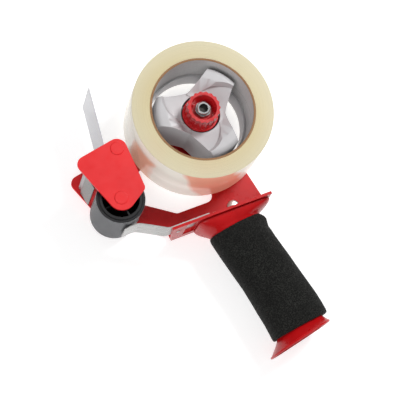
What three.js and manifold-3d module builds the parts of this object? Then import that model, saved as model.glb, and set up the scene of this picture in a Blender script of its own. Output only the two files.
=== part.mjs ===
// Pistol-grip dispenser for packing tape, lying on its side with the open end of the roll upward.
// Millimetres, +Z up. X runs along the frame's flange, +Y from the flange toward the roll.
// Points are laid out from the roll's axle, and the whole set is centred on the origin at the end.
import * as THREE from 'three';
import Module from 'manifold-3d';
import { mergeVertices } from 'three/addons/utils/BufferGeometryUtils.js';

const wasm = await Module();
wasm.setup();

const GAP = 0.1;                 // assembly gap between fixed neighbours
const RUNNING = 0.08;            // radial clearance of a turning fit

// Tape roll: 48 mm tape on a 3 inch core.
const TAPE_WIDTH = 48;
const ROLL_R = 53.4;
const CORE_BORE_R = 38.1;
const CORE_WALL = 1.7;
const ROLL_Z = 7;                // height of the roll's lower face
const ROLL_TOP = ROLL_Z + TAPE_WIDTH;

// Frame: stamped side plate with a flange bent up along its lower edge.
const PLATE_Z = 2.5;
const SHEET = 2;
const PLATE_TOP = PLATE_Z + SHEET;
const FLANGE_Y = -75.5;
const FLANGE_TOP_Z = 44.5;
const FLANGE_FRONT_X = -54;
const FLANGE_REAR_X = 26;

// Front end: two guards on two cross pins, with the rubber roller on the lower pin.
const GUIDE_PIN = [-72, -7];
const ROLLER_PIN = [-83, -42.4];
const PIN_R = 3;
const GUARD_THICK = 2;
const GUARD_LOW_Z = PLATE_TOP + GAP;
const GUARD_HIGH_Z = ROLL_TOP - 0.3;
const ROLLER_R = 17.9;
const ROLLER_Z = GUARD_LOW_Z + GUARD_THICK + 0.6;
const ROLLER_TOP = GUARD_HIGH_Z - 0.6;
const WEB = 0.3;                 // thickness the tape film is drawn at
const WEB_R = ROLLER_R + 0.35;   // centre line of the film around the roller

// Spring leaf: a flat root riveted to the flange, then a bend and a tip that presses on the roller.
const LEAF_THICK = 0.8;
const LEAF_LOW_Z = 20;
const LEAF_HIGH_Z = 44;
const LEAF_REAR_X = -24;
const LEAF_BEND_X = -55;

// Rivet axes through the flange, [x, z], and the one rivet through the plate, [x, y].
const LEAF_RIVETS = [[-48, 32], [-28, 32]];
const HANDLE_RIVETS = [[-18, 34], [14, 34], [14, 10], [-18, 10]];
const PLATE_RIVET = [6, -67];

// Blade: its foot and the tips of its teeth, in plan.
const BLADE_FOOT = new THREE.Vector2(-98.3, -28.5);
const BLADE_TIP = new THREE.Vector2(-101, -13.8);

// Hub: a rear ring that carries the core, a centre boss and three arms with rounded tips.
const HUB_FLOOR_Z = ROLL_Z + 2.6;
const HUB_R = CORE_BORE_R - GAP;
const HUB_RING_WALL = 1.5;
const HUB_RING_TOP = 24;
const HUB_SKIN = 1.8;            // wall of the moulded arms
const ARM_R = 35.2;
const ARM_TOP = 50;
const ARM_ROUND = 4.5;           // radius of the rounded tips
const ARM_ANGLES = [40.5, 160.5, 280.5];
const BOSS_R = 17;
const BOSS_TOP = 43.5;

// Spindle stack, upward from the seat in the hub: washer, spring, washer, knob and nut.
const AXLE_R = 3.9;
const SEAT_Z = 31;
const SEAT_R = 14.8;
const WASHER = 1.4;
const SPRING_LOW_Z = SEAT_Z + WASHER + 2 * GAP;
const KNOB_Z = 40.2;
const KNOB_TOP = 58.6;
const DISH_Z = 51;               // floor of the hollow in the knob's top
const NUT_TOP = 56.8;

// Handle.
const HANDLE_Z = 22;             // mid-height of the handle's oval
const HANDLE_WALL = 1.6;

// Colour, roughness and metalness of each finish.
const FINISH = {
  redPaint: { color: 0xb91e23, roughness: 0.3, metalness: 0.1 },
  redPlastic: { color: 0xea3c3e, roughness: 0.4, metalness: 0 },
  blackFoam: { color: 0x191a18, roughness: 0.95, metalness: 0 },
  chrome: { color: 0xd8d8da, roughness: 0.12, metalness: 1 },
  zinc: { color: 0xa8a8a4, roughness: 0.35, metalness: 1 },
  bladeSteel: { color: 0x8c8e90, roughness: 0.3, metalness: 1 },
  blackPlastic: { color: 0x101011, roughness: 0.45, metalness: 0 },
  greyRubber: { color: 0x64666a, roughness: 0.55, metalness: 0 },
  hubPlastic: { color: 0xcdcbcd, roughness: 0.45, metalness: 0 },
  cardboard: { color: 0xa57850, roughness: 0.9, metalness: 0 },
  tape: { color: 0xd2c8a0, roughness: 0.3, metalness: 0 },
  film: { color: 0xd8d8de, roughness: 0.15, metalness: 0 },
};

const parts = new THREE.Group();

function add(group, name, finish, geometry) {
  const mesh = new THREE.Mesh(geometry, new THREE.MeshStandardMaterial(FINISH[finish]));
  mesh.name = name;
  group.add(mesh);
}

// An empty group standing at (x, y), for pieces laid out around their own vertical line.
function groupAt([x, y]) {
  const group = new THREE.Group();
  group.position.set(x, y, 0);
  parts.add(group);
  return group;
}

function toManifold(geometry) {
  const g = geometry.clone();
  g.deleteAttribute('normal');
  g.deleteAttribute('uv');
  const merged = mergeVertices(g, 1e-4);
  return new wasm.Manifold(new wasm.Mesh({
    numProp: 3,
    vertProperties: new Float32Array(merged.attributes.position.array),
    triVerts: new Uint32Array(merged.index.array),
  }));
}

function toGeometry(manifold) {
  const mesh = manifold.getMesh();
  const g = new THREE.BufferGeometry();
  g.setAttribute('position', new THREE.BufferAttribute(new Float32Array(mesh.vertProperties), 3));
  g.setIndex(new THREE.BufferAttribute(new Uint32Array(mesh.triVerts), 1));
  return g;
}

function union(...geometries) {
  return toGeometry(geometries.map(toManifold).reduce((sum, next) => sum.add(next)));
}

function cut(body, ...tools) {
  return toGeometry(tools.map(toManifold).reduce((rest, tool) => rest.subtract(tool), toManifold(body)));
}

function common(first, second) {
  return toGeometry(toManifold(first).intersect(toManifold(second)));
}

// A closed outline through corner points [x, y, radius], each corner rounded by a tangent arc.
function roundedOutline(corners, arcSteps = 6) {
  const points = [];
  corners.forEach(([x, y, radius], i) => {
    const at = new THREE.Vector2(x, y);
    const before = new THREE.Vector2(...corners.at(i - 1)).sub(at);
    const after = new THREE.Vector2(...corners[(i + 1) % corners.length]).sub(at);
    const half = before.angleTo(after) / 2;
    const reach = Math.min(radius / Math.tan(half), before.length() / 2, after.length() / 2);
    const start = at.clone().addScaledVector(before.normalize(), reach);
    const end = at.clone().addScaledVector(after.normalize(), reach);
    for (let k = 0; k <= arcSteps; k += 1) {
      const t = k / arcSteps;
      const weight = Math.sin(half);
      const [a, b, c] = [(1 - t) ** 2, 2 * t * (1 - t) * weight, t ** 2];
      points.push(new THREE.Vector2(
        (a * start.x + b * at.x + c * end.x) / (a + b + c),
        (a * start.y + b * at.y + c * end.y) / (a + b + c),
      ));
    }
  });
  return points;
}

function circlePoints([x, y], radius, steps = 32) {
  return Array.from({ length: steps }, (_, i) => {
    const angle = (2 * Math.PI * i) / steps;
    return new THREE.Vector2(x + radius * Math.cos(angle), y + radius * Math.sin(angle));
  });
}

// The outline of a belt pulled tight around circles [x, y, radius].
function beltAround(circles) {
  const points = circles.flatMap(([x, y, r]) => circlePoints([x, y], r, 36));
  points.sort((p, q) => p.x - q.x || p.y - q.y);
  const chain = (list) => {
    const kept = [];
    for (const p of list) {
      while (kept.length > 1) {
        const [a, b] = kept.slice(-2);
        if ((b.x - a.x) * (p.y - a.y) - (b.y - a.y) * (p.x - a.x) > 1e-6) break;
        kept.pop();
      }
      kept.push(p);
    }
    return kept.slice(0, -1);
  };
  return [...chain(points), ...chain(points.reverse())];
}

// A flat plate: an outline in X and Y with holes, standing from z0 to z1.
function slab(outline, z0, z1, holes = []) {
  const shape = new THREE.Shape(outline);
  shape.holes = holes.map((hole) => new THREE.Path(hole));
  return new THREE.ExtrudeGeometry(shape, { depth: z1 - z0, bevelEnabled: false }).translate(0, 0, z0);
}

function block(x0, x1, y0, y1, z0, z1) {
  return new THREE.BoxGeometry(x1 - x0, y1 - y0, z1 - z0)
    .translate((x0 + x1) / 2, (y0 + y1) / 2, (z0 + z1) / 2);
}

// A profile of [radius, z] points turned about the vertical axis.
function turned(profile, steps = 40) {
  const points = profile.map(([r, z]) => new THREE.Vector2(r, z));
  return new THREE.LatheGeometry(points, steps).rotateX(Math.PI / 2);
}

// A tube between two radii, or a plain cylinder when the inner radius is 0.
function tube(inner, outer, z0, z1, steps = 40) {
  const profile = [[inner, z0], [outer, z0], [outer, z1], [inner, z1]];
  return turned(inner > 0 ? [...profile, profile[0]] : profile, steps);
}

// A pin with a low head: the head from z0 to z1, the shank from z1 to z2.
function headedPin(headR, shankR, z0, z1, z2) {
  const soft = 0.6;
  return turned([
    [0, z0], [headR - soft, z0], [headR, z0 + soft], [headR, z1], [shankR, z1],
    [shankR, z2 - 0.3], [shankR - 0.3, z2], [0, z2],
  ], 32);
}

// A strip of sheet that follows a path in X and Y and stands from z0 to z1.
function ribbon(path, thickness, z0, z1) {
  const points = path.map(([x, y]) => new THREE.Vector2(x, y));
  const side = (sign) => points.map((p, i) => {
    const a = points[Math.max(i - 1, 0)];
    const b = points[Math.min(i + 1, points.length - 1)];
    const along = b.clone().sub(a).normalize();
    return new THREE.Vector2(p.x - sign * along.y * thickness / 2, p.y + sign * along.x * thickness / 2);
  });
  return slab([...side(1), ...side(-1).reverse()], z0, z1);
}

function arcPoints([x, y], radius, fromDeg, toDeg, steps) {
  return Array.from({ length: steps + 1 }, (_, i) => {
    const angle = THREE.MathUtils.degToRad(fromDeg + ((toDeg - fromDeg) * i) / steps);
    return new THREE.Vector2(x + radius * Math.cos(angle), y + radius * Math.sin(angle));
  });
}

// Rings of equal point counts joined into one closed skin, the last ring joined back to the first.
function closedSkin(rings) {
  const count = rings[0].length;
  const positions = rings.flat().flatMap((p) => [p.x, p.y, p.z]);
  const index = [];
  for (let i = 0; i < rings.length; i += 1) {
    const next = (i + 1) % rings.length;
    for (let k = 0; k < count; k += 1) {
      const right = (k + 1) % count;
      const [a, b, c, d] = [i * count + k, i * count + right, next * count + right, next * count + k];
      index.push(a, b, c, a, c, d);
    }
  }
  const g = new THREE.BufferGeometry();
  g.setAttribute('position', new THREE.BufferAttribute(new Float32Array(positions), 3));
  g.setIndex(index);
  return g;
}

// One oval of the handle: centre, tilt of its plane, half width, half depth and squareness.
function oval({ x, y, tilt, wide, deep, square }) {
  const steps = 40;
  const turn = THREE.MathUtils.degToRad(tilt);
  const bend = 2 / square;
  return Array.from({ length: steps }, (_, i) => {
    const angle = (2 * Math.PI * i) / steps;
    const across = wide * Math.sign(Math.cos(angle)) * Math.abs(Math.cos(angle)) ** bend;
    const up = deep * Math.sign(Math.sin(angle)) * Math.abs(Math.sin(angle)) ** bend;
    return new THREE.Vector3(x + across * Math.cos(turn), y + across * Math.sin(turn), HANDLE_Z + up);
  });
}

function grown(ring, by) {
  return { ...ring, wide: ring.wide + by, deep: ring.deep + by };
}

function ovalShell(outer, inner) {
  return closedSkin([...outer.map((ring) => oval(ring)), ...inner.map((ring) => oval(ring)).reverse()]);
}

// The flange's section in Y and Z: a strip that leaves the plate, bends by a right angle and stands up.
function flangeSection() {
  const outer = 3.5;
  const inner = outer - SHEET;
  const foot = FLANGE_Y + 5;
  const arc = (radius) => Array.from({ length: 6 }, (_, k) => {
    const angle = (Math.PI / 2) * (k / 5);
    return new THREE.Vector2(
      FLANGE_Y + outer - radius * Math.sin(angle),
      PLATE_Z + outer - radius * Math.cos(angle),
    );
  });
  return [
    new THREE.Vector2(foot, PLATE_TOP), ...arc(inner),
    new THREE.Vector2(FLANGE_Y + SHEET, FLANGE_TOP_Z), new THREE.Vector2(FLANGE_Y, FLANGE_TOP_Z),
    ...arc(outer).reverse(), new THREE.Vector2(foot, PLATE_Z),
  ];
}

function addFrame() {
  const outline = roundedOutline([
    [-48.5, -71, 1], [31, -71, 3], [27, -50, 40], [15, 15, 14], [-13, 13, 12], [-44, 4.6, 30],
    [-80, 3, 9], [-93, -49, 8], [-80, -51.5, 6], [-62, -57, 8],
  ]);
  const opening = roundedOutline([
    [-36.5, -57.3, 4], [-4, -57.3, 6], [-12, -22, 6], [-43, -13.5, 12], [-61, -20, 5], [-64, -38, 5],
  ]);
  const plate = slab(outline, PLATE_Z, PLATE_TOP, [
    opening.reverse(), circlePoints([0, 0], AXLE_R + 0.05, 40), circlePoints(GUIDE_PIN, PIN_R + 0.05),
    circlePoints(ROLLER_PIN, PIN_R + 0.05), circlePoints(PLATE_RIVET, 2.05),
  ]);
  const flange = new THREE.ExtrudeGeometry(new THREE.Shape(flangeSection()), {
    depth: FLANGE_REAR_X - FLANGE_FRONT_X, bevelEnabled: false,
  });
  flange.applyMatrix4(new THREE.Matrix4().makeBasis(
    new THREE.Vector3(0, 1, 0), new THREE.Vector3(0, 0, 1), new THREE.Vector3(1, 0, 0),
  )).translate(FLANGE_FRONT_X, 0, 0);
  const window = block(-42, -33, FLANGE_Y - 2, FLANGE_Y + 4, 14, 41);
  const holes = [...LEAF_RIVETS, ...HANDLE_RIVETS].map((at) => crossPin(at, 1.6, FLANGE_Y - 1, FLANGE_Y + 4));
  const slant = [[-60, 43], [FLANGE_FRONT_X, 43], [-48.8, 0], [-60, 0]];
  const frontSlant = slab(slant.map((point) => new THREE.Vector2(...point)), -FLANGE_Y - 5, -FLANGE_Y + 5)
    .rotateX(Math.PI / 2);
  add(parts, 'side_frame', 'redPaint', cut(union(plate, cut(flange, frontSlant)), window, ...holes));
}

// A cylinder along Y at [x, z].
function crossPin([x, z], radius, y0, y1) {
  return new THREE.CylinderGeometry(radius, radius, y1 - y0, 24).translate(x, (y0 + y1) / 2, z);
}

// A rivet along Y: a shank from yLow through the flange and a low head that starts at yHead.
function crossRivet([x, z], headR, yLow, yHead, headTall) {
  const shank = 1.5;
  const points = [
    [0, yLow], [shank, yLow], [shank, yHead], [headR, yHead], [headR, yHead + headTall / 2],
    [headR * 0.7, yHead + headTall], [0, yHead + headTall],
  ];
  return new THREE.LatheGeometry(points.map(([r, y]) => new THREE.Vector2(r, y)), 24).translate(x, 0, z);
}

function addLeaf() {
  const flat = FLANGE_Y + SHEET + GAP + LEAF_THICK / 2;
  const root = ribbon([[LEAF_REAR_X, flat], [LEAF_BEND_X, flat]], LEAF_THICK, LEAF_LOW_Z, LEAF_HIGH_Z);
  const notch = crossPin([-38.5, LEAF_HIGH_Z], 4, flat - 2, flat + 2);
  const holes = LEAF_RIVETS.map((at) => crossPin(at, 1.6, flat - 2, flat + 2));
  add(parts, 'leaf_root', 'chrome', cut(root, notch, ...holes));
  const rise = [
    [LEAF_BEND_X - 0.3, flat], [-57, flat + 0.6], [-74.5, -62.6], [-77, -61.8], [-80, -61.75],
    [-84, -61.9], [-86.5, -62.3],
  ];
  add(parts, 'leaf_tip', 'chrome', ribbon(rise, LEAF_THICK, LEAF_LOW_Z, LEAF_HIGH_Z));
  const head = flat + LEAF_THICK / 2 + GAP;
  LEAF_RIVETS.forEach((at, i) => {
    add(parts, `leaf_rivet_${i + 1}`, 'zinc', crossRivet(at, 3, FLANGE_Y - 0.4, head, 1.4));
  });
}

function addHandleRivets() {
  const head = FLANGE_Y + SHEET + GAP;
  HANDLE_RIVETS.forEach((at, i) => {
    add(parts, `handle_rivet_${i + 1}`, 'zinc', crossRivet(at, 3.4, FLANGE_Y - 1.7, head, 1.6));
  });
  const seat = PLATE_TOP + GAP;
  add(groupAt(PLATE_RIVET), 'plate_rivet', 'zinc', turned([
    [0, PLATE_Z], [2, PLATE_Z], [2, seat], [4.8, seat], [4.8, seat + 0.6], [3.4, seat + 1.4], [0, seat + 1.6],
  ], 32));
}

function addHandle() {
  const neck = { tilt: 9, wide: 17.5, deep: 12.8, square: 2.2 };
  const outer = [
    { x: -3, y: -75.6, tilt: 0, wide: 29.4, deep: 19, square: 6 },
    { x: -3, y: -77.6, tilt: 0, wide: 29, deep: 18.7, square: 5.5 },
    { x: -3.6, y: -80, tilt: 1, wide: 27, deep: 17.4, square: 4.4 },
    { x: -4.4, y: -82.6, tilt: 3, wide: 23.4, deep: 15.6, square: 3.2 },
    { x: -4.2, y: -84.8, tilt: 6, wide: 19.8, deep: 14.2, square: 2.5 },
    { ...neck, x: -2.4, y: -93 },
    { ...neck, x: 3.6, y: -122 },
    { ...neck, x: 8.6, y: -150, tilt: 8 },
    { ...neck, x: 11, y: -168, tilt: 7 },
    { x: 11, y: -173, tilt: 8, wide: 19, deep: 14, square: 2.2 },
    { x: 9.8, y: -177, tilt: 9, wide: 22, deep: 17.2, square: 2.3 },
    { x: 8.4, y: -180, tilt: 10.5, wide: 24.6, deep: 20.6, square: 2.5 },
    { x: 8, y: -181.6, tilt: 11, wide: 25.6, deep: 21.9, square: 2.6 },
  ];
  add(parts, 'handle', 'redPaint', ovalShell(outer, outer.map((ring) => grown(ring, -HANDLE_WALL))));

  const foam = [
    { x: -4.6, y: -85.2, tilt: 6, wide: 20.6, deep: 16, square: 2.3 },
    { x: -4.4, y: -86.6, tilt: 6, wide: 21.8, deep: 16.9, square: 2.3 },
    { x: -1.8, y: -100, tilt: 8, wide: 21.6, deep: 16.9, square: 2.3 },
    { x: 3.6, y: -122, tilt: 9, wide: 21.5, deep: 16.9, square: 2.3 },
    { x: 8.9, y: -150, tilt: 8, wide: 22.3, deep: 17.1, square: 2.3 },
    { x: 11.8, y: -170, tilt: 6.5, wide: 23.4, deep: 17.6, square: 2.3 },
    { x: 12, y: -173.4, tilt: 6, wide: 23, deep: 17.3, square: 2.3 },
  ];
  const top = { ...neck, x: -3.8, y: -86.6, tilt: 6, wide: 19.3, deep: 13.9, square: 2.4 };
  const bottom = { ...neck, x: 11, y: -171.5, tilt: 7.7, wide: 18.6, deep: 13.7 };
  const bore = [
    { ...top, y: -85.4, wide: 20.1, deep: 15.3 }, top, ...outer.slice(5, 9), bottom,
    { ...bottom, y: -172.8, wide: 19.5, deep: 14.7 },
  ];
  add(parts, 'foam_grip', 'blackFoam', ovalShell(foam, bore.map((ring) => grown(ring, 0.15))));
}

function addGuards() {
  const outline = beltAround([[-72, -7, 7.4], [-97.8, -10.3, 6], [-82.2, -41.6, 10.2], [-67.6, -39.6, 4]]);
  const holes = [circlePoints(GUIDE_PIN, PIN_R + 0.05), circlePoints(ROLLER_PIN, PIN_R + 0.05)];
  add(parts, 'inner_guard', 'redPlastic', slab(outline, GUARD_LOW_Z, GUARD_LOW_Z + GUARD_THICK, holes));
  const top = GUARD_HIGH_Z + GUARD_THICK;
  const boss = turned([[0, top - 1], [5, top - 1], [5, top + 0.3], [4.6, top + 0.6], [0, top + 0.6]], 36);
  const bosses = [GUIDE_PIN, ROLLER_PIN].map(([x, y]) => boss.clone().translate(x, y, 0));
  add(parts, 'outer_guard', 'redPlastic', union(slab(outline, GUARD_HIGH_Z, top), ...bosses));

  const pinTop = GUARD_HIGH_Z - GAP;
  const guide = groupAt(GUIDE_PIN);
  add(guide, 'guide_pin', 'zinc', headedPin(6, PIN_R, 0, PLATE_Z - GAP, pinTop));
  add(guide, 'guide_sleeve', 'blackPlastic', tube(PIN_R + 0.05, 5, ROLLER_Z - 0.5, pinTop));
}

function addRoller() {
  const roller = groupAt(ROLLER_PIN);
  add(roller, 'roller_axle', 'zinc', headedPin(6, PIN_R, 0, PLATE_Z - GAP, GUARD_HIGH_Z - GAP));
  const rim = ROLLER_R - 2.2;
  const shell = tube(rim - 2, rim - 0.02, ROLLER_Z, ROLLER_TOP, 48);
  const barrel = tube(PIN_R + RUNNING, 5.4, ROLLER_Z, ROLLER_TOP, 32);
  const spokes = [10, 100, 190, 280].map((angle) => (
    block(5, 14.6, -0.6, 0.6, ROLLER_Z + 4, ROLLER_TOP - 4).rotateZ(THREE.MathUtils.degToRad(angle))
  ));
  const web = tube(5, rim - 1, ROLLER_Z + 20, ROLLER_Z + 22, 40);
  add(roller, 'roller_core', 'blackPlastic', union(shell, barrel, web, ...spokes));
  const sleeve = tube(rim + 0.02, ROLLER_R, ROLLER_Z + 0.4, ROLLER_TOP - 0.4, 56);
  add(roller, 'roller_sleeve', 'greyRubber', sleeve);
}

function addBlade() {
  const rise = BLADE_TIP.clone().sub(BLADE_FOOT);
  const tall = rise.length();
  const group = groupAt([BLADE_FOOT.x, BLADE_FOOT.y]);
  group.rotation.z = Math.atan2(rise.y, rise.x) - Math.PI / 2;
  const backThick = 0.8;
  const back = block(0, backThick, 0, tall - 4, ROLLER_Z, ROLLER_TOP);
  const ears = [ROLLER_Z, ROLLER_TOP - 1].map((z) => block(0.4, 4, 3, tall - 4.5, z, z + 1));
  add(group, 'blade_holder', 'chrome', union(back, ...ears));

  const teeth = 20;
  const toothTall = 1.4;
  const start = ROLLER_Z + 1.2;
  const stop = ROLLER_TOP - 1.2;
  const pitch = (stop - start) / teeth;
  const edge = [new THREE.Vector2(4, start), new THREE.Vector2(4, stop)];
  for (let k = teeth; k > 0; k -= 1) {
    edge.push(new THREE.Vector2(tall - toothTall, start + k * pitch));
    edge.push(new THREE.Vector2(tall, start + (k - 0.5) * pitch));
  }
  edge.push(new THREE.Vector2(tall - toothTall, start));
  const blade = new THREE.ExtrudeGeometry(new THREE.Shape(edge), { depth: 0.5, bevelEnabled: false });
  blade.applyMatrix4(new THREE.Matrix4().makeBasis(
    new THREE.Vector3(0, 1, 0), new THREE.Vector3(0, 0, 1), new THREE.Vector3(1, 0, 0),
  )).translate(backThick + GAP, 0, 0);
  add(group, 'blade', 'bladeSteel', blade);
}

function addSpindle() {
  const end = DISH_Z + 2;
  add(parts, 'axle_bolt', 'zinc', turned([
    [0, 0], [9, 0], [9, 1.6], [8, PLATE_Z - GAP], [AXLE_R, PLATE_Z - GAP], [AXLE_R, end - 0.4],
    [AXLE_R - 0.4, end], [0, end],
  ]));
  add(parts, 'axle_nut', 'zinc', slab(circlePoints([0, 0], 7.5, 6), PLATE_TOP + GAP, ROLL_Z + 2.2,
    [circlePoints([0, 0], AXLE_R + 0.05, 40)]));
  add(parts, 'brake_washer', 'zinc', tube(AXLE_R + 0.05, 12, SEAT_Z + GAP, SEAT_Z + GAP + WASHER, 36));
  add(parts, 'knob_washer', 'zinc', tube(AXLE_R + RUNNING, 11, KNOB_Z - 1.2, KNOB_Z - 0.2, 36));

  // Hexagon nut with a round collar and a socket, sunk in the knob's hollow top.
  const low = DISH_Z + 0.3;
  const hexagon = slab(circlePoints([0, 0], 6.4, 6), low, NUT_TOP - 2.4);
  const chamfer = turned([[0, low - 1], [6.4, low - 1], [6.4, NUT_TOP - 3.2], [4.6, NUT_TOP], [0, NUT_TOP]]);
  const collar = turned([[0, low], [5, low], [5, NUT_TOP - 0.4], [4.6, NUT_TOP], [0, NUT_TOP]]);
  const thread = tube(0, AXLE_R + 0.05, low - 1, end + 0.1);
  const socket = tube(0, 3.4, end, NUT_TOP + 1);
  add(parts, 'cap_nut', 'chrome', cut(union(common(hexagon, chamfer), collar), thread, socket));
}

function addSpring() {
  const turns = 2.5;
  const wire = 0.75;
  const coilR = 7.5;
  const low = SPRING_LOW_Z + wire;
  const high = KNOB_Z - 1.3 - wire;
  class Coil extends THREE.Curve {
    getPoint(t) {
      const angle = 2 * Math.PI * turns * t;
      return new THREE.Vector3(coilR * Math.cos(angle), coilR * Math.sin(angle), low + (high - low) * t);
    }
  }
  const section = new THREE.Shape(circlePoints([0, 0], wire, 8));
  add(parts, 'tension_spring', 'zinc', new THREE.ExtrudeGeometry(section, {
    steps: 60, extrudePath: new Coil(), bevelEnabled: false,
  }));
}

function addKnob() {
  const scallops = 18;
  const flangeTop = KNOB_Z + 2.4;
  const rim = Array.from({ length: scallops * 6 }, (_, i) => {
    const angle = (2 * Math.PI * i) / (scallops * 6);
    const r = 12 + 0.45 * Math.cos(scallops * angle);
    return new THREE.Vector2(r * Math.cos(angle), r * Math.sin(angle));
  });
  const grip = slab(rim, flangeTop - 1, KNOB_TOP);
  const flange = turned([
    [0, KNOB_Z], [13.2, KNOB_Z], [13.7, KNOB_Z + 0.6], [13.7, flangeTop - 0.4], [13.3, flangeTop],
    [0, flangeTop],
  ], 48);
  const dish = turned([[0, DISH_Z], [7.2, DISH_Z], [9.8, KNOB_TOP + 0.6], [0, KNOB_TOP + 0.6]]);
  const bore = tube(0, AXLE_R + RUNNING, KNOB_Z - 1, DISH_Z + 1);
  add(parts, 'tension_knob', 'redPlastic', cut(union(grip, flange), dish, bore));
}

// Half the width of a hub arm at distance x from the axle: broad at the boss, narrower at the tip.
function armHalf(x) {
  const t = (x - 12) / 21;
  return 15.2 - 6 * t + 2.2 * t * t;
}

// The plan of one arm along +X, drawn inset from its full outline.
function armOutline(reach, inset) {
  const steps = 10;
  const flank = (sign) => Array.from({ length: steps + 1 }, (_, i) => {
    const x = 8 + (reach - 8) * (i / steps);
    return new THREE.Vector2(x, sign * (armHalf(x) - inset));
  });
  return [...flank(-1), ...flank(1).reverse()];
}

// The turned form that limits the arms: into the ring at the foot, then a straight side, a rounded
// upper edge and a face that slopes down to the boss.
function armLimit() {
  const round = arcPoints([ARM_R - ARM_ROUND, ARM_TOP - ARM_ROUND], ARM_ROUND, 0, 90, 6);
  return turned([
    [0, 0], [HUB_R - 0.8, 0], [HUB_R - 0.8, HUB_RING_TOP - 2], [ARM_R, HUB_RING_TOP],
    ...round.map((p) => [p.x, p.y]), [26, ARM_TOP], [BOSS_R, BOSS_TOP + 0.6], [0, BOSS_TOP + 0.6],
  ], 96);
}

// The dished part of an arm's face: a cone that falls toward the boss, inside an off-centre circle.
function armDish() {
  const cone = turned([
    [0, BOSS_TOP], [BOSS_R, BOSS_TOP], [32, ARM_TOP - 2], [32, ARM_TOP + 4], [0, ARM_TOP + 4],
  ]);
  const rim = turned([[0, 0], [21.5, 0], [21.5, ARM_TOP - 3], [24.5, ARM_TOP + 1], [0, ARM_TOP + 1]], 64);
  return common(cone, rim.translate(6, -12, 0));
}

function addHub() {
  const face = cut(
    common(slab(armOutline(HUB_R + 2, 0), HUB_FLOOR_Z, ARM_TOP), armLimit()),
    armDish(),
  );
  const hollow = common(
    slab(armOutline(HUB_R + 2, HUB_SKIN), HUB_FLOOR_Z - 1, BOSS_TOP - HUB_SKIN),
    tube(BOSS_R - 0.5, ARM_R - HUB_SKIN, 0, ARM_TOP, 64),
  );
  const turn = (g, angle) => g.clone().rotateZ(THREE.MathUtils.degToRad(angle));
  const boss = tube(AXLE_R + RUNNING, BOSS_R, HUB_FLOOR_Z, BOSS_TOP, 48);
  const seat = tube(0, SEAT_R, SEAT_Z, ARM_TOP + 1, 48);
  const bore = tube(0, AXLE_R + RUNNING, 0, ARM_TOP);
  const ring = tube(HUB_R - HUB_RING_WALL, HUB_R, ROLL_Z + 0.4, HUB_RING_TOP, 96);
  const shells = ARM_ANGLES.map((angle) => turn(cut(face, hollow), angle));
  add(parts, 'hub', 'hubPlastic', cut(union(boss, ring, ...shells), seat, bore));
}

function addRoll() {
  add(parts, 'tape_core', 'cardboard', tube(CORE_BORE_R, CORE_BORE_R + CORE_WALL, ROLL_Z, ROLL_TOP, 96));
  const soft = 0.5;
  const inner = CORE_BORE_R + CORE_WALL + 0.02;
  add(parts, 'tape_roll', 'tape', turned([
    [inner, ROLL_Z], [ROLL_R - soft, ROLL_Z], [ROLL_R, ROLL_Z + soft], [ROLL_R, ROLL_TOP - soft],
    [ROLL_R - soft, ROLL_TOP], [inner, ROLL_TOP], [inner, ROLL_Z],
  ], 96));
}

// The film leaves the roll on a tangent that crosses over to the far side of the roller, wraps under
// the roller and stands up free past the blade.
function addFilm() {
  const rollR = ROLL_R + 0.45;
  const apart = Math.hypot(...ROLLER_PIN);
  const toRoll = Math.atan2(-ROLLER_PIN[1], -ROLLER_PIN[0]);
  const onRoller = THREE.MathUtils.radToDeg(toRoll - Math.acos((rollR + WEB_R) / apart));
  const leave = onRoller + 180;
  const free = [new THREE.Vector2(-80.2, -4), new THREE.Vector2(-78.6, 4), new THREE.Vector2(-73.2, 44.6)];
  const toFree = free[0].clone().sub(new THREE.Vector2(...ROLLER_PIN));
  const offRoller = THREE.MathUtils.radToDeg(toFree.angle() + Math.acos(WEB_R / toFree.length())) - 360;
  const path = [
    ...arcPoints([0, 0], rollR, leave - 12, leave, 4),
    ...arcPoints(ROLLER_PIN, WEB_R, onRoller, offRoller, 28),
  ];
  const last = path.at(-1);
  const slack = new THREE.CubicBezierCurve(
    last, last.clone().lerp(free[0], 0.75), free[1].clone().lerp(free[2], -0.25), free[1],
  );
  path.push(...slack.getPoints(10).slice(1), free[2]);
  add(parts, 'tape_web', 'film', ribbon(path, WEB, ROLL_Z + 0.2, GUARD_HIGH_Z - 1.1));
}

addFrame();
addLeaf();
addHandleRivets();
addHandle();
addGuards();
addRoller();
addBlade();
addSpindle();
addSpring();
addKnob();
addHub();
addRoll();
addFilm();

const bounds = new THREE.Box3().setFromObject(parts);
const middle = bounds.getCenter(new THREE.Vector3());
parts.position.set(-middle.x, -middle.y, -bounds.min.z);

export default parts;
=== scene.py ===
"""Looks of a pistol-grip packing-tape dispenser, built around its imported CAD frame."""

import math

import bmesh
import bpy
from mathutils import Matrix, Vector, noise


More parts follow.
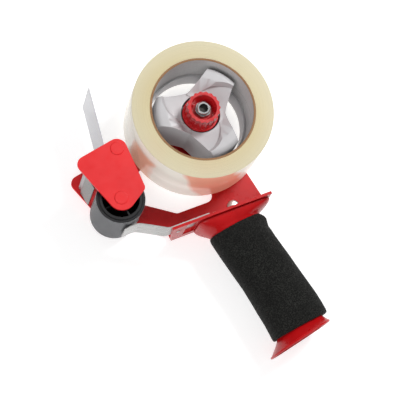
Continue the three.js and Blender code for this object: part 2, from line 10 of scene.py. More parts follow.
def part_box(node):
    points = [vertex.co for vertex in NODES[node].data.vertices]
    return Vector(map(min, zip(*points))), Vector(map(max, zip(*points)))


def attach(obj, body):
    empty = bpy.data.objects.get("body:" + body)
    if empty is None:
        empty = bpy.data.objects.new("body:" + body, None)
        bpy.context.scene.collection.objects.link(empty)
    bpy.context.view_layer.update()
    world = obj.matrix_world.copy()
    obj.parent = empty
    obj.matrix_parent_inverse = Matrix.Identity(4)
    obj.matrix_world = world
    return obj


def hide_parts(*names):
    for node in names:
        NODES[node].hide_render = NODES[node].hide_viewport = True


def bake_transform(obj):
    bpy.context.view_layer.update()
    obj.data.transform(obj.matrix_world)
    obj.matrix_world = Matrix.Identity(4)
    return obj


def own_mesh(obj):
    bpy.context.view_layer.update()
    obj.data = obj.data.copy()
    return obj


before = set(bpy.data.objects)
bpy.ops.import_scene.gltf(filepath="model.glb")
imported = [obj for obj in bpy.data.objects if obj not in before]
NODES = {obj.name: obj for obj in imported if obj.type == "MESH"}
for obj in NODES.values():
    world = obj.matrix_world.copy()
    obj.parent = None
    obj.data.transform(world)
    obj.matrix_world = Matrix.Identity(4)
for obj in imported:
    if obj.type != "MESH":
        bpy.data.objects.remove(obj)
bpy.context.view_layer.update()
MM = 0.001


def middle(node):
    """The centre of a CAD node's box."""
    low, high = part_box(node)
    return (low + high) / 2


AXLE = middle("tape_core")                # the roll's axis crosses this point
ROLL_LOW, ROLL_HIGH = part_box("tape_roll")
ROLL_R = (ROLL_HIGH.x - ROLL_LOW.x) / 2


def from_axle(x, y, z):
    """A point given in millimetres from the axle in plan, and from the floor in height."""
    return Vector((AXLE.x + x * MM, AXLE.y + y * MM, z * MM))


# ---------------------------------------------------------------- materials

class Shader:
    """One Principled material and the few node helpers that its recipe needs."""

    def __init__(self, name, colour, roughness, metallic=0.0, **settings):
        self.material = bpy.data.materials.new(name)
        self.material.use_nodes = True
        self.tree = self.material.node_tree
        self.bsdf = self.tree.nodes["Principled BSDF"]
        self.set("Base Color", (*colour, 1))
        self.set("Roughness", roughness)
        self.set("Metallic", metallic)
        for key, value in settings.items():
            self.set(key.replace("_", " "), value)
        self.coords = self.tree.nodes.new("ShaderNodeTexCoord")
        self.at = self.coords.outputs["Object"]

    def set(self, socket, value):
        """Gives an input of the Principled node a fixed value."""
        self.bsdf.inputs[socket].default_value = value

    def link(self, output, socket):
        """Drives an input of the Principled node."""
        self.tree.links.new(output, self.bsdf.inputs[socket])

    def feed(self, socket, value):
        """Links an output to a node's input, or sets the input to a fixed value."""
        if isinstance(value, bpy.types.NodeSocket):
            self.tree.links.new(value, socket)
        else:
            socket.default_value = value

    def node(self, kind, **inputs):
        """A new node, its inputs given by name as fixed values or as sockets to link."""
        made = self.tree.nodes.new(kind)
        for key, value in inputs.items():
            self.feed(made.inputs[key.replace("_", " ")], value)
        return made

    def noise(self, scale, detail=4.0, rough=0.6, at=None):
        """Cloudy noise from 0 to 1, scale features to the metre."""
        made = self.node("ShaderNodeTexNoise", Vector=at or self.at, Scale=scale, Detail=detail)
        made.inputs["Roughness"].default_value = rough
        return made.outputs["Fac"]

    def cells(self, scale):
        """Distance to the nearest of scattered points."""
        made = self.node("ShaderNodeTexVoronoi", Vector=self.at, Scale=scale)
        return made.outputs["Distance"]

    def math(self, operation, a, b=0.0, clamp=False):
        made = self.tree.nodes.new("ShaderNodeMath")
        made.operation = operation
        made.use_clamp = clamp
        self.feed(made.inputs[0], a)
        self.feed(made.inputs[1], b)
        return made.outputs[0]

    def span(self, value, low, high, to_low, to_high):
        """value mapped from low..high to to_low..to_high, held at the ends."""
        made = self.node("ShaderNodeMapRange", Value=value)
        made.inputs["From Min"].default_value = low
        made.inputs["From Max"].default_value = high
        made.inputs["To Min"].default_value = to_low
        made.inputs["To Max"].default_value = to_high
        return made.outputs[0]

    def window(self, value, low, high, soft):
        """1 between low and high, fading to 0 over soft on each side."""
        rise = self.span(value, low - soft, low + soft, 0.0, 1.0)
        fall = self.span(value, high - soft, high + soft, 1.0, 0.0)
        return self.math("MULTIPLY", rise, fall)

    def mix(self, factor, first, second):
        """A colour between first and second."""
        made = self.tree.nodes.new("ShaderNodeMix")
        made.data_type = "RGBA"
        self.feed(made.inputs["Factor"], factor)
        for socket, colour in ((made.inputs[6], first), (made.inputs[7], second)):
            fixed = not isinstance(colour, bpy.types.NodeSocket)
            self.feed(socket, (*colour, 1) if fixed else colour)
        return made.outputs[2]

    def bump(self, height, strength, depth):
        """Relief on the surface, depth metres high."""
        made = self.node("ShaderNodeBump", Height=height, Strength=strength, Distance=depth)
        self.link(made.outputs["Normal"], "Normal")

    def parts(self, value):
        """The X, Y and Z of a vector."""
        made = self.node("ShaderNodeSeparateXYZ", Vector=value)
        return made.outputs["X"], made.outputs["Y"], made.outputs["Z"]

    def radius(self, centre):
        """Distance from a vertical line through centre."""
        x, y, _ = self.parts(self.at)
        dx = self.math("SUBTRACT", x, centre.x)
        dy = self.math("SUBTRACT", y, centre.y)
        squares = self.math("ADD", self.math("MULTIPLY", dx, dx), self.math("MULTIPLY", dy, dy))
        return self.math("SQRT", squares)

    def turn(self, centre):
        """Angle around a vertical line through centre, from -pi to pi."""
        x, y, _ = self.parts(self.at)
        return self.math("ARCTAN2", self.math("SUBTRACT", y, centre.y), self.math("SUBTRACT", x, centre.x))

    def stretched(self, x, y, z):
        """Object coordinates scaled by x, y and z, to draw a texture out."""
        made = self.node("ShaderNodeMapping", Vector=self.at)
        made.inputs["Scale"].default_value = (x, y, z)
        return made.outputs[0]


def red_paint():
    """Gloss enamel on sheet steel."""
    s = Shader("red_paint", (0.52, 0.006, 0.008), 0.3, Specular_IOR_Level=0.22)
    s.set("Coat Weight", 0.12)
    s.set("Coat Roughness", 0.05)
    wear = s.span(s.noise(60, 5), 0.35, 0.7, 0.0, 1.0)
    s.link(s.mix(wear, (0.46, 0.004, 0.006), (0.56, 0.007, 0.009)), "Base Color")
    s.link(s.span(s.noise(140, 3), 0.3, 0.7, 0.24, 0.4), "Roughness")
    s.bump(s.noise(420, 2), 0.12, 0.0004)
    return s.material


def red_plastic():
    """Satin moulding of the two guards."""
    s = Shader("red_plastic", (0.78, 0.018, 0.02), 0.38, Specular_IOR_Level=0.35)
    shade = s.span(s.noise(35, 3), 0.3, 0.7, 0.0, 1.0)
    s.link(s.mix(shade, (0.74, 0.016, 0.019), (0.82, 0.022, 0.025)), "Base Color")
    s.link(s.span(s.noise(220, 4), 0.3, 0.7, 0.3, 0.46), "Roughness")
    s.bump(s.noise(2600, 3), 0.12, 0.00008)
    return s.material


def knob_plastic():
    """Glossier and darker red of the knob."""
    s = Shader("knob_plastic", (0.6, 0.008, 0.012), 0.22, Coat_Weight=0.5, Coat_Roughness=0.08)
    shade = s.span(s.noise(90, 3), 0.3, 0.7, 0.0, 1.0)
    s.link(s.mix(shade, (0.50, 0.006, 0.010), (0.66, 0.011, 0.015)), "Base Color")
    s.link(s.span(s.noise(300, 4), 0.3, 0.7, 0.18, 0.32), "Roughness")
    s.bump(s.noise(900, 3), 0.1, 0.0001)
    return s.material


def foam():
    """Black closed-cell foam, its pores as fine pale specks."""
    s = Shader("black_foam", (0.01, 0.01, 0.009), 0.95, Specular_IOR_Level=0.2)
    s.set("Sheen Weight", 0.04)
    s.set("Sheen Roughness", 0.6)
    pores = s.cells(1100)
    fine = s.noise(1500, 3, 0.7)
    speck = s.span(s.math("MULTIPLY", pores, fine), 0.15, 0.42, 0.0, 1.0)
    tone = s.math("MULTIPLY", speck, s.span(s.noise(90, 3), 0.3, 0.7, 0.6, 1.0))
    s.link(s.mix(tone, (0.002, 0.002, 0.0018), (0.024, 0.025, 0.022)), "Base Color")
    s.bump(s.math("ADD", s.math("MULTIPLY", pores, 0.7), fine), 0.7, 0.0006)
    return s.material


def chrome():
    """Bright plating of the nut at the axle's end."""
    s = Shader("chrome", (0.42, 0.42, 0.42), 0.15, metallic=1.0)
    lines = s.noise(500, 4, at=s.stretched(0.05, 0.05, 3.0))
    s.link(s.span(lines, 0.3, 0.7, 0.12, 0.24), "Roughness")
    s.bump(lines, 0.04, 0.0001)
    return s.material


def spring_steel():
    """The leaf's plating, softer than a mirror."""
    s = Shader("spring_steel", (0.40, 0.40, 0.39), 0.3, metallic=0.55)
    lines = s.noise(500, 4, at=s.stretched(0.05, 0.05, 3.0))
    s.link(s.mix(lines, (0.34, 0.34, 0.33), (0.46, 0.46, 0.45)), "Base Color")
    s.link(s.span(lines, 0.3, 0.7, 0.22, 0.38), "Roughness")
    s.bump(lines, 0.05, 0.0001)
    return s.material


def dark_steel():
    """Oiled spring steel of the blade's holder."""
    s = Shader("dark_steel", (0.14, 0.15, 0.14), 0.28, metallic=1.0)
    lines = s.noise(600, 4, at=s.stretched(1.0, 0.2, 2.0))
    s.link(s.mix(lines, (0.06, 0.065, 0.06), (0.24, 0.25, 0.24)), "Base Color")
    s.link(s.span(lines, 0.3, 0.7, 0.2, 0.36), "Roughness")
    s.bump(lines, 0.06, 0.0001)
    return s.material


def zinc():
    """Zinc-plated fasteners, with a cloudy bloom."""
    s = Shader("zinc", (0.55, 0.55, 0.53), 0.35, metallic=1.0)
    bloom = s.span(s.noise(160, 5), 0.35, 0.65, 0.0, 1.0)
    s.link(s.mix(bloom, (0.42, 0.43, 0.42), (0.64, 0.63, 0.60)), "Base Color")
    s.link(s.span(bloom, 0.0, 1.0, 0.26, 0.45), "Roughness")
    s.bump(s.noise(900, 2), 0.1, 0.0001)
    return s.material


def painted_socket_shade():
    """Nearly black steel: painted shade on the bolt's threaded end deep in the nut's socket, with a faint
    speckle.
    """
    s = Shader("painted_socket_shade", (0.02, 0.02, 0.018), 0.5, metallic=0.6)
    socket_speckle = s.noise(900, 4)
    s.link(s.mix(socket_speckle, (0.008, 0.008, 0.007), (0.05, 0.05, 0.045)), "Base Color")
    s.bump(socket_speckle, 0.3, 0.0002)
    return s.material


def blade_steel():
    """Ground steel, its marks running along the blade."""
    s = Shader("blade_steel", (0.34, 0.35, 0.36), 0.3, metallic=1.0)
    grind = s.noise(900, 4, at=s.stretched(1.0, 0.08, 3.0))
    s.link(s.mix(grind, (0.24, 0.25, 0.26), (0.46, 0.47, 0.48)), "Base Color")
    s.link(s.span(grind, 0.3, 0.7, 0.22, 0.42), "Roughness")
    s.bump(grind, 0.12, 0.0001)
    return s.material


def black_plastic():
    """Black moulding of the roller's core and the guide sleeve."""
    s = Shader("black_plastic", (0.008, 0.008, 0.009), 0.4, Specular_IOR_Level=0.3)
    s.link(s.mix(s.noise(300, 3), (0.004, 0.004, 0.005), (0.014, 0.014, 0.016)), "Base Color")
    s.link(s.span(s.noise(500, 3), 0.3, 0.7, 0.34, 0.5), "Roughness")
    s.bump(s.noise(1800, 2), 0.1, 0.0001)
    return s.material


def grey_rubber():
    """Ground rubber of the pressing roller."""
    s = Shader("grey_rubber", (0.07, 0.072, 0.076), 0.5, Specular_IOR_Level=0.35)
    grind = s.noise(700, 4, at=s.stretched(1.0, 1.0, 0.15))
    s.link(s.mix(grind, (0.056, 0.058, 0.062), (0.094, 0.097, 0.102)), "Base Color")
    s.link(s.span(grind, 0.3, 0.7, 0.42, 0.62), "Roughness")
    s.bump(s.math("ADD", grind, s.noise(2400, 2)), 0.12, 0.0001)
    return s.material


def hub_plastic():
    """Pale grey moulding of the hub."""
    s = Shader("hub_plastic", (0.5, 0.49, 0.5), 0.4, Specular_IOR_Level=0.4)
    s.link(s.mix(s.noise(40, 3), (0.47, 0.46, 0.47), (0.55, 0.54, 0.55)), "Base Color")
    s.link(s.span(s.noise(260, 3), 0.3, 0.7, 0.32, 0.46), "Roughness")
    s.bump(s.noise(2200, 2), 0.08, 0.0001)
    return s.material


def core_edge():
    """Brown cut edge of the wound board, with its plies as fine rings."""
    s = Shader("core_edge", (0.3, 0.16, 0.075), 0.9)
    plies = s.math("SINE", s.math("MULTIPLY", s.radius(AXLE), 2 * math.pi / (0.42 * MM)))
    fleck = s.noise(1500, 4)
    tone = s.math("ADD", s.math("MULTIPLY", plies, 0.25), fleck, clamp=True)
    s.link(s.mix(tone, (0.20, 0.10, 0.045), (0.42, 0.24, 0.12)), "Base Color")
    s.bump(tone, 0.4, 0.0002)
    return s.material


def core_liner():
    """Pale grey paper inside the core, with the spiral seam of its winding."""
    s = Shader("core_liner", (0.62, 0.61, 0.60), 0.85)
    _, _, height = s.parts(s.at)
    lap = s.math("ADD", s.math("DIVIDE", s.turn(AXLE), 2 * math.pi), s.math("DIVIDE", height, 75 * MM))
    seam = s.math("LESS_THAN", s.math("ABSOLUTE", s.math("SUBTRACT", s.math("FRACT", lap), 0.5)), 0.002)
    fibre = s.noise(800, 5, at=s.stretched(1, 1, 0.4))
    paper = s.mix(fibre, (0.58, 0.57, 0.565), (0.74, 0.73, 0.72))
    s.link(s.mix(seam, paper, (0.36, 0.31, 0.27)), "Base Color")
    s.bump(s.math("SUBTRACT", fibre, seam), 0.15, 0.0002)
    return s.material


# The two stretches of the roll's wall where the red plate is painted on as painted see-through, in degrees
# about the axle.
PAINTED_REAR_SPAN = (-124.0, -82.0)
PAINTED_FRONT_SPAN = (-178.0, -153.0)
PAINTED_SPAN_FADE = 2.5
# Colours of the painted see-through of the red plate; the front stretch is paler.
PAINTED_PLATE_RED = (0.78, 0.30, 0.19)
PAINTED_PLATE_PALE_RED = (0.86, 0.44, 0.30)
WALL_CLEAR = (0.84, 0.82, 0.76)


def wound_tape():
    """Clear film in hundreds of layers: pale amber on the cut faces, grey and half clear on the wall.

    Over two stretches of its turn the wall has the red side plate painted onto it as painted see-through.
    The wall also has a faint painted glow, and the cut faces have a painted reflection fan.
    """
    s = Shader("wound_tape", (0.66, 0.58, 0.38), 0.28, IOR=1.25)
    radius = s.radius(AXLE)
    degrees = s.math("DEGREES", s.turn(AXLE))
    height = s.parts(s.at)[2]
    upward = s.span(s.parts(s.coords.outputs["Normal"])[2], 0.5, 0.8, 0.0, 1.0)

    outward = s.span(radius, 0.74 * ROLL_R, ROLL_R, 0.0, 1.0)
    layer = s.node("ShaderNodeCombineXYZ", X=s.math("MULTIPLY", radius, 2600)).outputs[0]
    rings = s.noise(1.0, 5, 0.75, at=layer)
    # Painted reflection: the cut faces shift between two tones twice per turn about the axle.
    painted_reflection_fan = s.span(s.math("SINE", s.math("MULTIPLY", s.turn(AXLE), 2)), -1.0, 1.0, 0.0, 1.0)
    face = s.mix(outward, s.mix(painted_reflection_fan, (0.64, 0.54, 0.30), (0.62, 0.55, 0.34)), (0.68, 0.62, 0.44))
    streaked = s.mix(s.span(rings, 0.25, 0.75, 0.0, 0.4), face, (0.74, 0.68, 0.48))

    # Painted see-through of the red plate: masks for the two stretches, their edges wobbling, the rear one
    # leaning with height.
    wobble = s.span(s.noise(50, 1), 0.3, 0.7, -2.5, 2.5)
    lean = s.math("ADD", wobble, s.span(height, ROLL_LOW.z, ROLL_HIGH.z, 14.0, -4.0))
    painted_rear_plate = s.window(s.math("SUBTRACT", degrees, lean), *PAINTED_REAR_SPAN, PAINTED_SPAN_FADE)
    front = s.window(s.math("SUBTRACT", degrees, wobble), *PAINTED_FRONT_SPAN, PAINTED_SPAN_FADE)
    below = s.span(height, ROLL_HIGH.z - 10 * MM, ROLL_HIGH.z - 16 * MM, 0.0, 1.0)
    painted_front_plate = s.math("MULTIPLY", front, below)
    plate = s.math("MAXIMUM", painted_rear_plate, painted_front_plate)
    red = s.mix(painted_front_plate, PAINTED_PLATE_RED, PAINTED_PLATE_PALE_RED)
    wall = s.mix(s.math("MULTIPLY", plate, 0.85), WALL_CLEAR, red)
    s.link(s.mix(upward, wall, streaked), "Base Color")
    # Painted glow: the wall, including its painted red stretches, gives off a little light of its own in
    # place of light carried through the film. The cut faces don't glow.
    s.link(wall, "Emission Color")
    s.link(s.span(upward, 0.0, 1.0, 0.26, 0.0), "Emission Strength")
    s.link(s.span(upward, 0.0, 1.0, 0.22, 0.1), "Transmission Weight")
    s.link(s.span(rings, 0.3, 0.7, 0.2, 0.34), "Roughness")
    s.bump(rings, 0.1, 0.0001)
    return s.material


def film():
    """Clear film: nearly invisible where it is taut, hazy grey along the loose end."""
    s = Shader("film", (0.50, 0.50, 0.535), 0.2, Specular_IOR_Level=0.4)
    x, y, _ = s.parts(s.at)
    along = s.span(y, AXLE.y - 10 * MM, AXLE.y - 4 * MM, 0.0, 1.0)
    left = s.span(x, AXLE.x - 66 * MM, AXLE.x - 69 * MM, 0.0, 1.0)
    streak = s.noise(300, 3, at=s.stretched(1, 1, 6))
    haze = s.math("MULTIPLY", s.math("MULTIPLY", along, left), s.span(streak, 0.3, 0.7, 0.84, 0.95))
    s.link(s.math("ADD", haze, 0.05), "Alpha")
    s.bump(streak, 0.08, 0.0002)
    return s.material


RED_PAINT = red_paint()
RED_PLASTIC = red_plastic()
KNOB_PLASTIC = knob_plastic()
FOAM = foam()
CHROME = chrome()
SPRING_STEEL = spring_steel()
DARK_STEEL = dark_steel()
ZINC = zinc()
PAINTED_SOCKET_SHADE = painted_socket_shade()
BLADE_STEEL = blade_steel()
BLACK_PLASTIC = black_plastic()
GREY_RUBBER = grey_rubber()
HUB_PLASTIC = hub_plastic()
CORE_EDGE = core_edge()
CORE_LINER = core_liner()
WOUND_TAPE = wound_tape()
FILM = film()


# ---------------------------------------------------------------- mesh helpers

def new_object(name, mesh, *materials):
    """Puts a mesh into the scene, with its materials in order of their index."""
    obj = bpy.data.objects.new(name, mesh)
    bpy.context.scene.collection.objects.link(obj)
    for material in materials:
        mesh.materials.append(material)
    return obj


def smooth(mesh, angle=35):
    """Smooth shading, with edges sharper than angle degrees kept sharp."""
    mesh.shade_smooth()
    mesh.set_sharp_from_angle(angle=math.radians(angle))


def mesh_from(name, vertices, faces):
    """A checked mesh from lists of points and faces."""
    mesh = bpy.data.meshes.new(name)
    mesh.from_pydata(vertices, [], faces)
    mesh.validate()
    return mesh


WELD = 1e-6             # metres
FLAT = 0.6              # degrees


def softened(node, material, width, body, slot, angle=35):
    """A copy of a CAD node's shape with its edges rounded by width millimetres, shown in its place.

    Points closer than WELD are joined first, and faces within FLAT degrees of each other are merged.
    """
    form = bmesh.new()
    form.from_mesh(NODES[node].data)
    bmesh.ops.remove_doubles(form, verts=form.verts, dist=WELD)
    bmesh.ops.dissolve_limit(form, angle_limit=math.radians(FLAT), verts=form.verts, edges=form.edges)
    mesh = bpy.data.meshes.new(node + "_fine")
    form.to_mesh(mesh)
    form.free()
    obj = new_object(node + "_fine", mesh, material)
    bevel = obj.modifiers.new("edges", "BEVEL")
    bevel.width = width * MM
    bevel.segments = 2
    bevel.limit_method = "ANGLE"
    bevel.angle_limit = math.radians(angle)
    smooth(mesh, angle)
    weighted = obj.modifiers.new("flat faces", "WEIGHTED_NORMAL")
    weighted.keep_sharp = True
    return place(obj, body, slot, node)


def place(obj, body, slot, *replaced):
    """Lets obj ride a body, in place of the CAD nodes named; slot is not used."""
    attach(obj, body)
    if replaced:
        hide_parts(*replaced)
    return obj


def lathe(name, centre, profile, steps):
    """A ring of [radius, z] points turned about a vertical line through centre."""
    vertices = []
    for k in range(steps):
        angle = 2 * math.pi * k / steps
        c, s = math.cos(angle), math.sin(angle)
        vertices += [(centre.x + r * c, centre.y + r * s, z) for r, z in profile]
    count = len(profile)
    faces = []
    for k in range(steps):
        for i in range(count):
            j = (i + 1) % count
            a, b = k * count, ((k + 1) % steps) * count
            faces.append((a + i, b + i, b + j, a + j))
    return mesh_from(name, vertices, faces)


# ---------------------------------------------------------------- pieces

# CAD nodes shown with softened edges: node, material, edge radius in millimetres, body, slot.
SOFTENED = [
    ("side_frame", RED_PAINT, 0.5, "frame", "red_paint"),
    ("inner_guard", RED_PLASTIC, 0.6, "frame", "red_plastic"),
    ("outer_guard", RED_PLASTIC, 0.6, "frame", "red_plastic"),
    ("guide_sleeve", BLACK_PLASTIC, 0.3, "frame", "black_plastic"),
    ("guide_pin", ZINC, 0.3, "frame", "zinc"),
    ("roller_axle", ZINC, 0.3, "frame", "zinc"),
    ("blade_holder", DARK_STEEL, 0.15, "frame", "chrome"),
    ("blade", BLADE_STEEL, 0.06, "frame", "blade_steel"),
    ("axle_nut", ZINC, 0.4, "frame", "zinc"),
    ("brake_washer", ZINC, 0.2, "frame", "zinc"),
    ("cap_nut", CHROME, 0.2, "frame", "chrome"),
    ("plate_rivet", ZINC, 0.3, "frame", "zinc"),
    ("leaf_rivet_1", ZINC, 0.25, "frame", "zinc"),
    ("leaf_rivet_2", ZINC, 0.25, "frame", "zinc"),
    ("handle_rivet_1", ZINC, 0.3, "frame", "zinc"),
    ("handle_rivet_2", ZINC, 0.3, "frame", "zinc"),
    ("handle_rivet_3", ZINC, 0.3, "frame", "zinc"),
    ("handle_rivet_4", ZINC, 0.3, "frame", "zinc"),
    ("hub", HUB_PLASTIC, 0.55, "roll", "hub_plastic"),
    ("roller_core", BLACK_PLASTIC, 0.25, "roller", "black_plastic"),
    ("knob_washer", ZINC, 0.2, "pressure", "zinc"),
    ("tension_knob", KNOB_PLASTIC, 0.45, "knob", "red_plastic"),
]


def dress_nodes():
    """The pieces that need only softened edges and a material."""
    for node, material, width, body, slot in SOFTENED:
        softened(node, material, width, body, slot)


def make_axle():
    """The axle bolt, its top end given the painted shade of the nut's socket."""
    bolt = softened("axle_bolt", ZINC, 0.3, "frame", "zinc")
    # The bolt's top faces take the painted shade of the socket.
    bolt.data.materials.append(PAINTED_SOCKET_SHADE)
    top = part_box("axle_bolt")[1].z
    for polygon in bolt.data.polygons:
        if polygon.center.z > top - 0.5 * MM:
            polygon.material_index = 1


def make_sleeve():
    """The roller's rubber sleeve, ground grey outside and black on its end faces."""
    sleeve = softened("roller_sleeve", GREY_RUBBER, 0.5, "roller", "grey_rubber")
    sleeve.data.materials.append(BLACK_PLASTIC)
    # Faces that look along the axle get the black plastic.
    for polygon in sleeve.data.polygons:
        if abs(polygon.normal.z) > 0.5:
            polygon.material_index = 1


def lofted(node, name, material):
    """A smooth, subdivided copy of a CAD node that was lofted from rings."""
    form = bmesh.new()
    form.from_mesh(NODES[node].data)
    bmesh.ops.remove_doubles(form, verts=form.verts, dist=WELD)
    bmesh.ops.join_triangles(form, faces=form.faces, angle_face_threshold=math.radians(40),
                             angle_shape_threshold=math.radians(60))
    mesh = bpy.data.meshes.new(name)
    form.to_mesh(mesh)
    form.free()
    obj = new_object(name, mesh, material)
    rounder = obj.modifiers.new("round", "SUBSURF")
    rounder.levels = rounder.render_levels = 2
    return obj


def baked(obj):
    """Applies the modifiers of obj and gives back its final mesh."""
    bpy.context.view_layer.update()
    graph = bpy.context.evaluated_depsgraph_get()
    mesh = bpy.data.meshes.new_from_object(obj.evaluated_get(graph))
    obj.modifiers.clear()
    obj.data = mesh
    return mesh


def make_handle():
    """The flared metal handle."""
    obj = lofted("handle", "handle_shell", RED_PAINT)
    baked(obj).shade_smooth()
    place(obj, "frame", "red_paint", "handle")


def tube_faces(rings, sides, closed):
    """The walls of a tube of rings of vertices, each of sides points."""
    faces = []
    for i in range(rings if closed else rings - 1):
        a, b = i * sides, ((i + 1) % rings) * sides
        for k in range(sides):
            j = (k + 1) % sides
            faces.append((a + k, a + j, b + j, b + k))
    return faces


# The handle's lower lip, an oval tilted in plan. LIP_POWER squares its corners: 1 would be an ellipse.
LIP_CENTRE = from_axle(8, -181.2, 22)
LIP_TILT = math.radians(11)
LIP_HALF_WIDTH = 25.6 * MM
LIP_HALF_HEIGHT = 21.9 * MM
LIP_POWER = 2 / 2.6
BEAD_R = 0.9 * MM


def make_lip_bead():
    """The bead rolled along the handle's lower lip."""
    steps, sides = 120, 12
    outward = Vector((math.cos(LIP_TILT), math.sin(LIP_TILT), 0))
    path = []
    for k in range(steps):
        c, s = math.cos(2 * math.pi * k / steps), math.sin(2 * math.pi * k / steps)
        across = (LIP_HALF_WIDTH - BEAD_R) * math.copysign(abs(c) ** LIP_POWER, c)
        rise = (LIP_HALF_HEIGHT - BEAD_R) * math.copysign(abs(s) ** LIP_POWER, s)
        path.append(LIP_CENTRE + outward * across + Vector((0, 0, rise)))
    normal = Vector((-math.sin(LIP_TILT), math.cos(LIP_TILT), 0))
    vertices = []
    for k, point in enumerate(path):
        along = (path[(k + 1) % steps] - path[k - 1]).normalized()
        side = along.cross(normal).normalized()
        for j in range(sides):
            around = 2 * math.pi * j / sides
            offset = side * math.cos(around) + normal * math.sin(around)
            vertices.append(point + offset * BEAD_R)
    mesh = mesh_from("lip_bead", vertices, tube_faces(steps, sides, closed=True))
    mesh.shade_smooth()
    place(new_object("lip_bead", mesh, RED_PAINT), "frame", "red_paint")


# A bulge and a dent at the rear of the foam's top end: depth and reach in millimetres.
FOAM_BULGE_AT = from_axle(16.8, -88, 0)
FOAM_BULGE = 2.2
FOAM_BULGE_REACH = 7
FOAM_DENT_AT = from_axle(14, -94, 0)
FOAM_DENT = 0.7
FOAM_DENT_REACH = 5


def near(point, centre, reach):
    """1 at a vertical line through centre, fading to 0 at reach millimetres from it."""
    share = max(0.0, 1 - (point.xy - centre.xy).length / (reach * MM))
    return share * share * (3 - 2 * share)


def make_foam():
    """The foam sleeve, slightly uneven, with a soft bulge and a dent near its top end."""
    obj = lofted("foam_grip", "foam_sleeve", FOAM)
    mesh = baked(obj)
    points = [v.co.copy() for v in mesh.vertices]
    normals = [v.normal.copy() for v in mesh.vertices]
    for v, point, normal in zip(mesh.vertices, points, normals):
        wave = noise.noise(point * 55) * 0.45 + noise.noise(point * 160) * 0.14
        push = FOAM_BULGE * near(point, FOAM_BULGE_AT, FOAM_BULGE_REACH)
        push -= FOAM_DENT * near(point, FOAM_DENT_AT, FOAM_DENT_REACH)
        v.co = point + normal * wave * MM + Vector((push * MM, 0, 0))
    mesh.shade_smooth()
    place(obj, "frame", "black_foam", "foam_grip")


CORE_GAP = 0.03 * MM     # between the core and the innermost tape
ROLL_LAYERS = 44         # steps across a cut face, far fewer than the real layers
ROLL_ROUNDING = 0.4 * MM
ROLL_EDGE = 0.35 * MM
LAYER_RELIEF = 0.08 * MM


def roll_face(inner, z, sign):
    """Points across one cut face, from the core outward; sign is 1 for the upper face."""
    points = []
    for k in range(ROLL_LAYERS + 1):
        r = inner + (ROLL_R - ROLL_EDGE - inner) * k / ROLL_LAYERS
        uneven = 1 + noise.noise(Vector((k * 0.7, sign * 3.0, 0)))
        points.append((r, z - sign * LAYER_RELIEF * uneven))
    return points


def make_roll():
    """The wound tape, its two faces slightly uneven from layer to layer."""
    core_low, core_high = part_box("tape_core")
    inner = (core_high.x - core_low.x) / 2 + CORE_GAP
    low, high = ROLL_LOW.z, ROLL_HIGH.z
    rim = [(ROLL_R, low + ROLL_ROUNDING), (ROLL_R, high - ROLL_ROUNDING)]
    profile = [*roll_face(inner, low, -1), *rim, *reversed(roll_face(inner, high, 1))]
    mesh = lathe("wound_tape", AXLE, profile, 220)
    smooth(mesh, 50)
    place(new_object("wound_tape", mesh, WOUND_TAPE), "roll", "tape", "tape_roll")


CORE_WALL = 1.7 * MM


def make_core():
    """The cardboard core: brown cut edges and a pale paper liner."""
    low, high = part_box("tape_core")
    outer = (high.x - low.x) / 2
    inner = outer - CORE_WALL
    soft = 0.25 * MM
    profile = [
        (inner, low.z + soft), (inner + soft, low.z),
        (outer - soft, low.z), (outer, low.z + soft),
        (outer, high.z - soft), (outer - soft, high.z),
        (inner + soft, high.z), (inner, high.z - soft),
    ]
    mesh = lathe("core", AXLE, profile, 200)
    smooth(mesh, 40)
    obj = new_object("core", mesh, CORE_EDGE, CORE_LINER)
    for polygon in mesh.polygons:
        if (polygon.center.xy - AXLE.xy).length < inner + 0.1 * MM:
            polygon.material_index = 1
    place(obj, "roll", "cardboard", "tape_core")


def ribbon(name, path, thickness, z0, z1, strips):
    """A strip of sheet that follows a path in plan and stands from z0 to z1."""
    rows = []
    for i, p in enumerate(path):
        along = (path[min(i + 1, len(path) - 1)] - path[max(i - 1, 0)]).normalized()
        across = Vector((-along.y, along.x)) * thickness / 2
        levels = [z0 + (z1 - z0) * k / strips for k in range(strips + 1)]
        front = [(p.x + across.x, p.y + across.y, z) for z in levels]
        back = [(p.x - across.x, p.y - across.y, z) for z in reversed(levels)]
        rows.append(front + back)
    count = len(rows[0])
    faces = [tuple(range(count)), tuple(reversed(range((len(rows) - 1) * count, len(rows) * count)))]
    for i in range(len(rows) - 1):
        for k in range(count):
            j = (k + 1) % count
            a, b = i * count, (i + 1) * count
            faces.append((a + k, b + k, b + j, a + j))
    return mesh_from(name, [v for row in rows for v in row], faces)


def spline(points, steps):
    """A smooth curve through points in plan, by Catmull-Rom segments."""
    ends = [points[0] * 2 - points[1], *points, points[-1] * 2 - points[-2]]
    curve = []
    for a, b, c, d in zip(ends, ends[1:], ends[2:], ends[3:]):
        for k in range(steps):
            t = k / steps
            curve.append(0.5 * ((2 * b) + (c - a) * t + (2 * a - 5 * b + 4 * c - d) * t ** 2
                                + (3 * b - a - 3 * c + d) * t ** 3))
    return [*curve, points[-1]]


FREE_LENGTH = 30 * MM    # the loose end of the film
FREE_SLANT = 3 * MM      # how far its upper corner runs past its lower one


def make_film():
    """The film from the roll, around the roller and up past the blade, its free end cut at a slant."""
    low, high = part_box("tape_web")
    mesh = NODES["tape_web"].data.copy()
    mesh.name = "tape_film"
    for v in mesh.vertices:
        share = (v.co.y - (high.y - FREE_LENGTH)) / FREE_LENGTH
        if share > 0 and v.co.x < low.x + 20 * MM:
            v.co.y += FREE_SLANT * share * ((v.co.z - low.z) / (high.z - low.z) - 0.15)
    obj = new_object("tape_film", mesh)
    mesh.materials.clear()
    mesh.materials.append(FILM)
    smooth(mesh, 40)
    place(obj, "frame", "film", "tape_web")


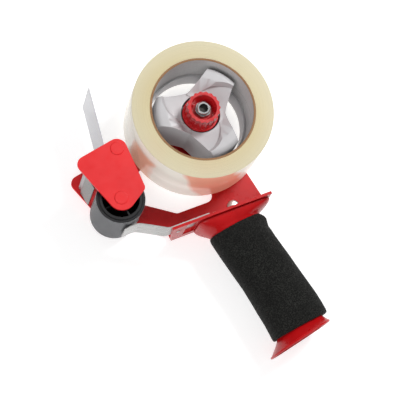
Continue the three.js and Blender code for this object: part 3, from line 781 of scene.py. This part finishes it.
# The leaf's free end in plan, in millimetres from the axle.
LEAF_TIP = [
    (-57.5, -72.1), (-66, -67.2), (-73.5, -63.1), (-76.5, -62.0),
    (-80, -61.75), (-84, -61.9), (-86.4, -62.3),
]


def make_leaf():
    """The plated leaf as one springy strip from its rivets to the roller."""
    low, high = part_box("leaf_root")
    flat = (low.y + high.y) / 2
    thick = high.y - low.y
    straight = [Vector((high.x - (high.x - low.x) * k / 6, flat)) for k in range(7)]
    bent = spline([straight[-1], *(from_axle(x, y, 0).xy for x, y in LEAF_TIP)], 4)
    mesh = ribbon("hold_down_leaf", [*straight[:-1], *bent], thick, low.z, high.z, 6)
    obj = new_object("hold_down_leaf", mesh, SPRING_STEEL)
    smooth(mesh, 40)
    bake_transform(obj)
    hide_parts("leaf_root", "leaf_tip")


WIRE_R = 0.75 * MM
SPRING_TURNS = 2.5


def make_spring():
    """The brake spring, flattened as the knob is tightened."""
    low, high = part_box("tension_spring")
    coil_r = (high.x - low.x) / 2 - WIRE_R
    steps, sides = 120, 12
    vertices = []
    for i in range(steps + 1):
        angle = 2 * math.pi * SPRING_TURNS * i / steps
        height = low.z + WIRE_R + (high.z - low.z - 2 * WIRE_R) * i / steps
        out = Vector((math.cos(angle), math.sin(angle), 0))
        for k in range(sides):
            around = 2 * math.pi * k / sides
            reach = out * (coil_r + WIRE_R * math.cos(around))
            vertices.append((AXLE.x + reach.x, AXLE.y + reach.y, height + WIRE_R * math.sin(around)))
    ends = [tuple(reversed(range(sides))), tuple(range(steps * sides, (steps + 1) * sides))]
    mesh = mesh_from("brake_spring", vertices, ends + tube_faces(steps + 1, sides, closed=False))
    smooth(mesh, 60)
    obj = place(new_object("brake_spring", mesh, ZINC), "frame", "zinc", "tension_spring")
    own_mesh(obj)


# ---------------------------------------------------------------- stage

def make_stage():
    """A white floor, a studio sky brighter overhead, and two lamps."""
    half = 3.0
    corners = [(-half, -half, 0), (half, -half, 0), (half, half, 0), (-half, half, 0)]
    shade = Shader("floor", (0.6, 0.6, 0.6), 0.8, Emission_Color=(1, 1, 1, 1))
    shade.set("Emission Strength", 0.66)
    floor = new_object("floor", mesh_from("floor", corners, [(0, 1, 2, 3)]), shade.material)

    world = bpy.data.worlds.new("studio")
    world.use_nodes = True
    tree = world.node_tree
    background = tree.nodes["Background"]
    background.inputs["Strength"].default_value = 0.42
    coords = tree.nodes.new("ShaderNodeTexCoord")
    height = tree.nodes.new("ShaderNodeSeparateXYZ")
    ramp = tree.nodes.new("ShaderNodeValToRGB")
    tree.links.new(coords.outputs["Generated"], height.inputs[0])
    tree.links.new(height.outputs["Z"], ramp.inputs[0])
    tree.links.new(ramp.outputs[0], background.inputs["Color"])
    ramp.color_ramp.elements[0].position = 0.15
    ramp.color_ramp.elements[0].color = (0.12, 0.12, 0.125, 1)
    ramp.color_ramp.elements[1].position = 0.7
    ramp.color_ramp.elements[1].color = (1, 1, 1, 1)
    bpy.context.scene.world = world

    lamp("key", (0.75, 0.35, 1.1), 0.35, 12)
    lamp("fill", (-0.9, -0.5, 1.0), 1.0, 7)


def lamp(name, place_at, size, power):
    """A square lamp of the given size, aimed at the origin."""
    data = bpy.data.lights.new(name, "AREA")
    data.size = size
    data.energy = power
    obj = bpy.data.objects.new(name, data)
    bpy.context.scene.collection.objects.link(obj)
    obj.location = place_at
    obj.rotation_euler = (-Vector(place_at)).to_track_quat("-Z", "Y").to_euler()


CAMERA_EYE = from_axle(-315.6, -274.8, 1130.9)
CAMERA_BACK = (-0.25247, -0.18647, 0.94947)
CAMERA_UP = (0.3339, 0.90419, 0.26637)
CAMERA_LENS = 140.7      # millimetres, on a 36 mm sensor


def make_camera():
    """A long lens above the open end of the roll, leaning toward the handle and the blade."""
    back = Vector(CAMERA_BACK).normalized()
    right = Vector(CAMERA_UP).cross(back).normalized()
    up = back.cross(right)
    data = bpy.data.cameras.new("camera")
    data.sensor_width = 36
    data.lens = CAMERA_LENS
    camera = bpy.data.objects.new("camera", data)
    bpy.context.scene.collection.objects.link(camera)
    turned = Matrix((right, up, back)).transposed().to_4x4()
    camera.matrix_world = Matrix.Translation(CAMERA_EYE) @ turned
    bpy.context.scene.camera = camera
    bpy.context.scene.view_settings.view_transform = "Standard"


dress_nodes()
make_axle()
make_sleeve()
make_handle()
make_lip_bead()
make_foam()
make_roll()
make_core()
make_leaf()
make_spring()
make_film()
make_stage()
make_camera()
